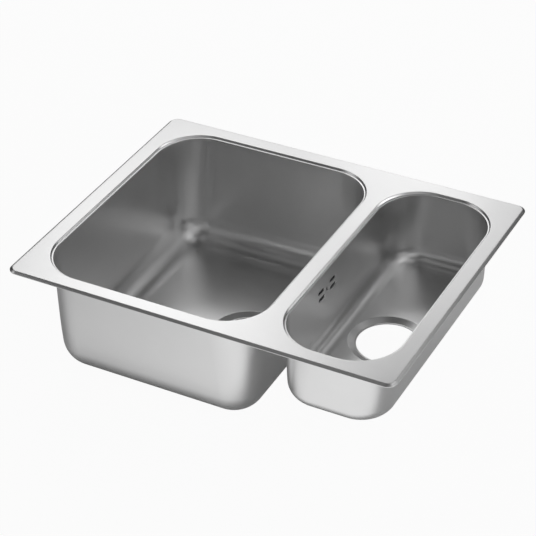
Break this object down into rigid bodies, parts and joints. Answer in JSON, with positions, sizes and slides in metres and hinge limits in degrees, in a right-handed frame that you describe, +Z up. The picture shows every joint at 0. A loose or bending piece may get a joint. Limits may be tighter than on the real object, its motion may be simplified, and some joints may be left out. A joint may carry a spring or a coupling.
{
  "type": "inset kitchen sink",
  "caption": "Inset kitchen sink in satin stainless steel with a large and a small bowl, recessed drain holes, overflow slots and edge clamps under the rim.",
  "frame": {"origin": "centre of the worktop's cut-out, at the height of the worktop's top, which the rim's lip and seal rest on", "axes": "+X to the right along the front edge, with the small bowl at +X, +Y to the back, +Z up"},
  "size_m": [0.58, 0.46, 0.183],
  "materials": {
    "deck_steel": "satin",
    "bowl_steel": "satin, drawn sheet",
    "seal_foam": "closed-cell foam",
    "damping_pad": "matt",
    "clamp_steel": "galvanised",
    "screw_steel": "zinc plated"
  },
  "bodies": {
    "root": {"deck": "deck_steel", "large_bowl": "bowl_steel", "small_bowl": "bowl_steel", "rim_seal": "seal_foam", "large_sound_pad": "damping_pad", "small_sound_pad": "damping_pad", "clamp_lugs": "clamp_steel", "clamp_pins": "clamp_steel"},
    "screw_front_left": {"screw_front_left": "screw_steel"},
    "nut_front_left": {"nut_front_left": "clamp_steel"},
    "claw_front_left": {"claw_front_left": "clamp_steel"},
    "screw_front_right": {"screw_front_right": "screw_steel"},
    "nut_front_right": {"nut_front_right": "clamp_steel"},
    "claw_front_right": {"claw_front_right": "clamp_steel"},
    "screw_right_front": {"screw_right_front": "screw_steel"},
    "nut_right_front": {"nut_right_front": "clamp_steel"},
    "claw_right_front": {"claw_right_front": "clamp_steel"},
    "screw_right_back": {"screw_right_back": "screw_steel"},
    "nut_right_back": {"nut_right_back": "clamp_steel"},
    "claw_right_back": {"claw_right_back": "clamp_steel"},
    "screw_back_right": {"screw_back_right": "screw_steel"},
    "nut_back_right": {"nut_back_right": "clamp_steel"},
    "claw_back_right": {"claw_back_right": "clamp_steel"},
    "screw_back_left": {"screw_back_left": "screw_steel"},
    "nut_back_left": {"nut_back_left": "clamp_steel"},
    "claw_back_left": {"claw_back_left": "clamp_steel"},
    "screw_left_back": {"screw_left_back": "screw_steel"},
    "nut_left_back": {"nut_left_back": "clamp_steel"},
    "claw_left_back": {"claw_left_back": "clamp_steel"},
    "screw_left_front": {"screw_left_front": "screw_steel"},
    "nut_left_front": {"nut_left_front": "clamp_steel"},
    "claw_left_front": {"claw_left_front": "clamp_steel"}
  },
  "joints": [
    {"name": "nut_travel_front_left", "type": "slide", "parent": "root", "child": "nut_front_left", "axis": [0, 0, -1], "range_m": [0, 0.0056]},
    {"name": "screw_turn_front_left", "type": "hinge", "parent": "root", "child": "screw_front_left", "pos_m": [-0.17, -0.2098, -0.00508], "axis": [0, 0, 1], "range_deg": [0, 2880]},
    {"name": "claw_swing_front_left", "type": "hinge", "parent": "root", "child": "claw_front_left", "pos_m": [-0.17, -0.2158, -0.00078], "axis": [-1, 0, 0], "range_deg": [0, 24]},
    {"name": "nut_travel_front_right", "type": "slide", "parent": "root", "child": "nut_front_right", "axis": [0, 0, -1], "range_m": [0, 0.0056]},
    {"name": "screw_turn_front_right", "type": "hinge", "parent": "root", "child": "screw_front_right", "pos_m": [0.17, -0.2098, -0.00508], "axis": [0, 0, 1], "range_deg": [0, 2880]},
    {"name": "claw_swing_front_right", "type": "hinge", "parent": "root", "child": "claw_front_right", "pos_m": [0.17, -0.2158, -0.00078], "axis": [-1, 0, 0], "range_deg": [0, 24]},
    {"name": "nut_travel_right_front", "type": "slide", "parent": "root", "child": "nut_right_front", "axis": [0, 0, -1], "range_m": [0, 0.0056]},
    {"name": "screw_turn_right_front", "type": "hinge", "parent": "root", "child": "screw_right_front", "pos_m": [0.2698, -0.11, -0.00508], "axis": [0, 0, 1], "range_deg": [0, 2880]},
    {"name": "claw_swing_right_front", "type": "hinge", "parent": "root", "child": "claw_right_front", "pos_m": [0.2758, -0.11, -0.00078], "axis": [0, -1, 0], "range_deg": [0, 24]},
    {"name": "nut_travel_right_back", "type": "slide", "parent": "root", "child": "nut_right_back", "axis": [0, 0, -1], "range_m": [0, 0.0056]},
    {"name": "screw_turn_right_back", "type": "hinge", "parent": "root", "child": "screw_right_back", "pos_m": [0.2698, 0.11, -0.00508], "axis": [0, 0, 1], "range_deg": [0, 2880]},
    {"name": "claw_swing_right_back", "type": "hinge", "parent": "root", "child": "claw_right_back", "pos_m": [0.2758, 0.11, -0.00078], "axis": [0, -1, 0], "range_deg": [0, 24]},
    {"name": "nut_travel_back_right", "type": "slide", "parent": "root", "child": "nut_back_right", "axis": [0, 0, -1], "range_m": [0, 0.0056]},
    {"name": "screw_turn_back_right", "type": "hinge", "parent": "root", "child": "screw_back_right", "pos_m": [0.17, 0.2098, -0.00508], "axis": [0, 0, 1], "range_deg": [0, 2880]},
    {"name": "claw_swing_back_right", "type": "hinge", "parent": "root", "child": "claw_back_right", "pos_m": [0.17, 0.2158, -0.00078], "axis": [1, 0, 0], "range_deg": [0, 24]},
    {"name": "nut_travel_back_left", "type": "slide", "parent": "root", "child": "nut_back_left", "axis": [0, 0, -1], "range_m": [0, 0.0056]},
    {"name": "screw_turn_back_left", "type": "hinge", "parent": "root", "child": "screw_back_left", "pos_m": [-0.17, 0.2098, -0.00508], "axis": [0, 0, 1], "range_deg": [0, 2880]},
    {"name": "claw_swing_back_left", "type": "hinge", "parent": "root", "child": "claw_back_left", "pos_m": [-0.17, 0.2158, -0.00078], "axis": [1, 0, 0], "range_deg": [0, 24]},
    {"name": "nut_travel_left_back", "type": "slide", "parent": "root", "child": "nut_left_back", "axis": [0, 0, -1], "range_m": [0, 0.0056]},
    {"name": "screw_turn_left_back", "type": "hinge", "parent": "root", "child": "screw_left_back", "pos_m": [-0.2698, 0.11, -0.00508], "axis": [0, 0, 1], "range_deg": [0, 2880]},
    {"name": "claw_swing_left_back", "type": "hinge", "parent": "root", "child": "claw_left_back", "pos_m": [-0.2758, 0.11, -0.00078], "axis": [0, 1, 0], "range_deg": [0, 24]},
    {"name": "nut_travel_left_front", "type": "slide", "parent": "root", "child": "nut_left_front", "axis": [0, 0, -1], "range_m": [0, 0.0056]},
    {"name": "screw_turn_left_front", "type": "hinge", "parent": "root", "child": "screw_left_front", "pos_m": [-0.2698, -0.11, -0.00508], "axis": [0, 0, 1], "range_deg": [0, 2880]},
    {"name": "claw_swing_left_front", "type": "hinge", "parent": "root", "child": "claw_left_front", "pos_m": [-0.2758, -0.11, -0.00078], "axis": [0, 1, 0], "range_deg": [0, 24]}
  ],
  "couplings": [
    {"joint": "screw_turn_front_left", "follows": "nut_travel_front_left", "rad_per_m": 8976},
    {"joint": "claw_swing_front_left", "follows": "nut_travel_front_left", "rad_per_m": 74.8},
    {"joint": "screw_turn_front_right", "follows": "nut_travel_front_right", "rad_per_m": 8976},
    {"joint": "claw_swing_front_right", "follows": "nut_travel_front_right", "rad_per_m": 74.8},
    {"joint": "screw_turn_right_front", "follows": "nut_travel_right_front", "rad_per_m": 8976},
    {"joint": "claw_swing_right_front", "follows": "nut_travel_right_front", "rad_per_m": 74.8},
    {"joint": "screw_turn_right_back", "follows": "nut_travel_right_back", "rad_per_m": 8976},
    {"joint": "claw_swing_right_back", "follows": "nut_travel_right_back", "rad_per_m": 74.8},
    {"joint": "screw_turn_back_right", "follows": "nut_travel_back_right", "rad_per_m": 8976},
    {"joint": "claw_swing_back_right", "follows": "nut_travel_back_right", "rad_per_m": 74.8},
    {"joint": "screw_turn_back_left", "follows": "nut_travel_back_left", "rad_per_m": 8976},
    {"joint": "claw_swing_back_left", "follows": "nut_travel_back_left", "rad_per_m": 74.8},
    {"joint": "screw_turn_left_back", "follows": "nut_travel_left_back", "rad_per_m": 8976},
    {"joint": "claw_swing_left_back", "follows": "nut_travel_left_back", "rad_per_m": 74.8},
    {"joint": "screw_turn_left_front", "follows": "nut_travel_left_front", "rad_per_m": 8976},
    {"joint": "claw_swing_left_front", "follows": "nut_travel_left_front", "rad_per_m": 74.8}
  ]
}
